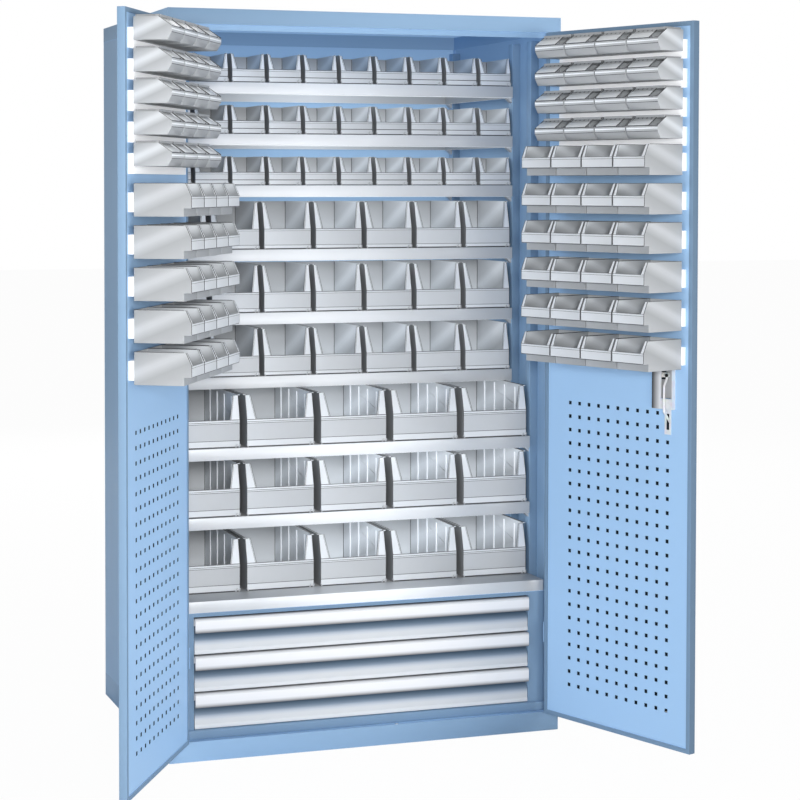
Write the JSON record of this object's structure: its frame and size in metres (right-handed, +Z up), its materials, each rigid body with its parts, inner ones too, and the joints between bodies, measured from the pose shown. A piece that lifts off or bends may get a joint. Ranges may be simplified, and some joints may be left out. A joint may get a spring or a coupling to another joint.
{
  "type": "workshop cabinet",
  "caption": "Tall two-door steel workshop cabinet with rows of open-front bins on shelves and doors, wide drawers below, and a turn-handle rod lock",
  "frame": {"origin": "on the floor, under the middle of the closed cabinet body, in the plane of the plinth's foot", "axes": "+Z up, +Y towards the back of the cabinet, +X to the right when facing the doors"},
  "size_m": [1.4833, 1.2935, 1.95],
  "materials": {
    "cabinet_blue": "satin light blue powder coat",
    "shelf_grey": "light grey coated sheet",
    "rail_white": "off-white coated sheet",
    "bin_grey": "smooth grey moulded plastic",
    "slide_steel": "zinc-plated rolled steel",
    "drawer_grey": "light grey powder coat",
    "handle_aluminium": "anodised extrusion",
    "lock_steel": "zinc-plated pressed steel",
    "handle_chrome": "polished cast metal",
    "screw_black": "black screw head"
  },
  "bodies": {
    "cabinet": {"plinth": "cabinet_blue", "floor_panel": "cabinet_blue", "left_side_panel": "cabinet_blue", "right_side_panel": "cabinet_blue", "back_panel": "cabinet_blue", "top_cap": "cabinet_blue", "shelf_uprights": "cabinet_blue", "shelf_clips": "shelf_grey", "shallow_shelves": "shelf_grey", "deep_shelves": "shelf_grey", "drawer_cover_shelf": "shelf_grey", "drawer_frame": "cabinet_blue", "drawer_fixed_rails": "slide_steel", "small_shelf_bins": "bin_grey", "medium_shelf_bins": "bin_grey", "large_shelf_bins": "bin_grey", "frame_knuckles": "cabinet_blue", "hinge_pins": "lock_steel"},
    "left_door": {"left_door_skin": "cabinet_blue", "left_door_inner_panel": "cabinet_blue", "left_door_bin_rails": "rail_white", "left_small_door_bins": "bin_grey", "left_large_door_bins": "bin_grey", "left_door_knuckles": "cabinet_blue"},
    "right_door": {"right_door_skin": "cabinet_blue", "right_door_inner_panel": "cabinet_blue", "right_door_bin_rails": "rail_white", "right_small_door_bins": "bin_grey", "right_large_door_bins": "bin_grey", "right_door_knuckles": "cabinet_blue", "lock_cover": "lock_steel", "handle_plate": "handle_chrome", "rod_guides": "lock_steel"},
    "lock_handle": {"turn_handle": "handle_chrome", "handle_spindle": "lock_steel", "lock_cam": "lock_steel", "cam_nut": "lock_steel"},
    "lower_lock_rod": {"lower_rod": "lock_steel", "rod_screw": "screw_black"},
    "upper_lock_rod": {"upper_rod": "lock_steel"},
    "drawer_1": {"drawer_1_box": "drawer_grey", "drawer_1_front": "drawer_grey", "drawer_1_handle": "handle_aluminium", "drawer_1_slide_rails": "slide_steel"},
    "drawer_1_middle": {"drawer_1_mid_rails": "slide_steel"},
    "drawer_2": {"drawer_2_box": "drawer_grey", "drawer_2_front": "drawer_grey", "drawer_2_handle": "handle_aluminium", "drawer_2_slide_rails": "slide_steel"},
    "drawer_2_middle": {"drawer_2_mid_rails": "slide_steel"},
    "drawer_3": {"drawer_3_box": "drawer_grey", "drawer_3_front": "drawer_grey", "drawer_3_handle": "handle_aluminium", "drawer_3_slide_rails": "slide_steel"},
    "drawer_3_middle": {"drawer_3_mid_rails": "slide_steel"},
    "small_shelf_bin": {"loose_small_shelf_bin": "bin_grey"},
    "medium_shelf_bin": {"loose_medium_shelf_bin": "bin_grey"},
    "large_shelf_bin": {"loose_large_shelf_bin": "bin_grey"},
    "small_door_bin": {"loose_small_door_bin": "bin_grey"},
    "large_door_bin": {"loose_large_door_bin": "bin_grey"}
  },
  "joints": [
    {"name": "left_door_hinge", "type": "hinge", "parent": "cabinet", "child": "left_door", "pos_m": [-0.523, -0.3854, 0], "axis": [0, 0, -1], "range_deg": [-121, 4]},
    {"name": "right_door_hinge", "type": "hinge", "parent": "cabinet", "child": "right_door", "pos_m": [0.523, -0.3854, 0], "axis": [0, 0, 1], "range_deg": [-110, 15]},
    {"name": "drawer_1_slide", "type": "slide", "parent": "cabinet", "child": "drawer_1", "axis": [0, -1, 0], "range_m": [0, 0.5]},
    {"name": "drawer_1_middle_slide", "type": "slide", "parent": "cabinet", "child": "drawer_1_middle", "axis": [0, -1, 0], "range_m": [0, 0.25]},
    {"name": "drawer_2_slide", "type": "slide", "parent": "cabinet", "child": "drawer_2", "axis": [0, -1, 0], "range_m": [0, 0.5]},
    {"name": "drawer_2_middle_slide", "type": "slide", "parent": "cabinet", "child": "drawer_2_middle", "axis": [0, -1, 0], "range_m": [0, 0.25]},
    {"name": "drawer_3_slide", "type": "slide", "parent": "cabinet", "child": "drawer_3", "axis": [0, -1, 0], "range_m": [0, 0.5]},
    {"name": "drawer_3_middle_slide", "type": "slide", "parent": "cabinet", "child": "drawer_3_middle", "axis": [0, -1, 0], "range_m": [0, 0.25]},
    {"name": "handle_turn", "type": "hinge", "parent": "right_door", "child": "lock_handle", "pos_m": [0.66311, -0.78615, 1.012], "axis": [0.9397, 0.342, 0], "range_deg": [0, 90]},
    {"name": "lower_rod_slide", "type": "slide", "parent": "right_door", "child": "lower_lock_rod", "axis": [0, 0, -1], "range_m": [0, 0.01801]},
    {"name": "upper_rod_slide", "type": "slide", "parent": "right_door", "child": "upper_lock_rod", "axis": [0, 0, 1], "range_m": [0, 0.01801]},
    {"name": "small_shelf_bin_out", "type": "slide", "parent": "cabinet", "child": "small_shelf_bin", "axis": [0, -1, 0], "range_m": [0, 0.19]},
    {"name": "medium_shelf_bin_out", "type": "slide", "parent": "cabinet", "child": "medium_shelf_bin", "axis": [0, -1, 0], "range_m": [0, 0.25]},
    {"name": "large_shelf_bin_out", "type": "slide", "parent": "cabinet", "child": "large_shelf_bin", "axis": [0, -1, 0], "range_m": [0, 0.37]},
    {"name": "small_door_bin_out", "type": "slide", "parent": "right_door", "child": "small_door_bin", "axis": [-0.9397, -0.342, 0], "range_m": [0, 0.12]},
    {"name": "large_door_bin_out", "type": "slide", "parent": "right_door", "child": "large_door_bin", "axis": [-0.9397, -0.342, 0], "range_m": [0, 0.16]}
  ],
  "couplings": [
    {"joint": "drawer_1_middle_slide", "follows": "drawer_1_slide", "ratio": 0.5},
    {"joint": "drawer_2_middle_slide", "follows": "drawer_2_slide", "ratio": 0.5},
    {"joint": "drawer_3_middle_slide", "follows": "drawer_3_slide", "ratio": 0.5},
    {"joint": "lower_rod_slide", "follows": "handle_turn", "m_per_rad": 0.011459},
    {"joint": "upper_rod_slide", "follows": "handle_turn", "m_per_rad": 0.011459}
  ]
}
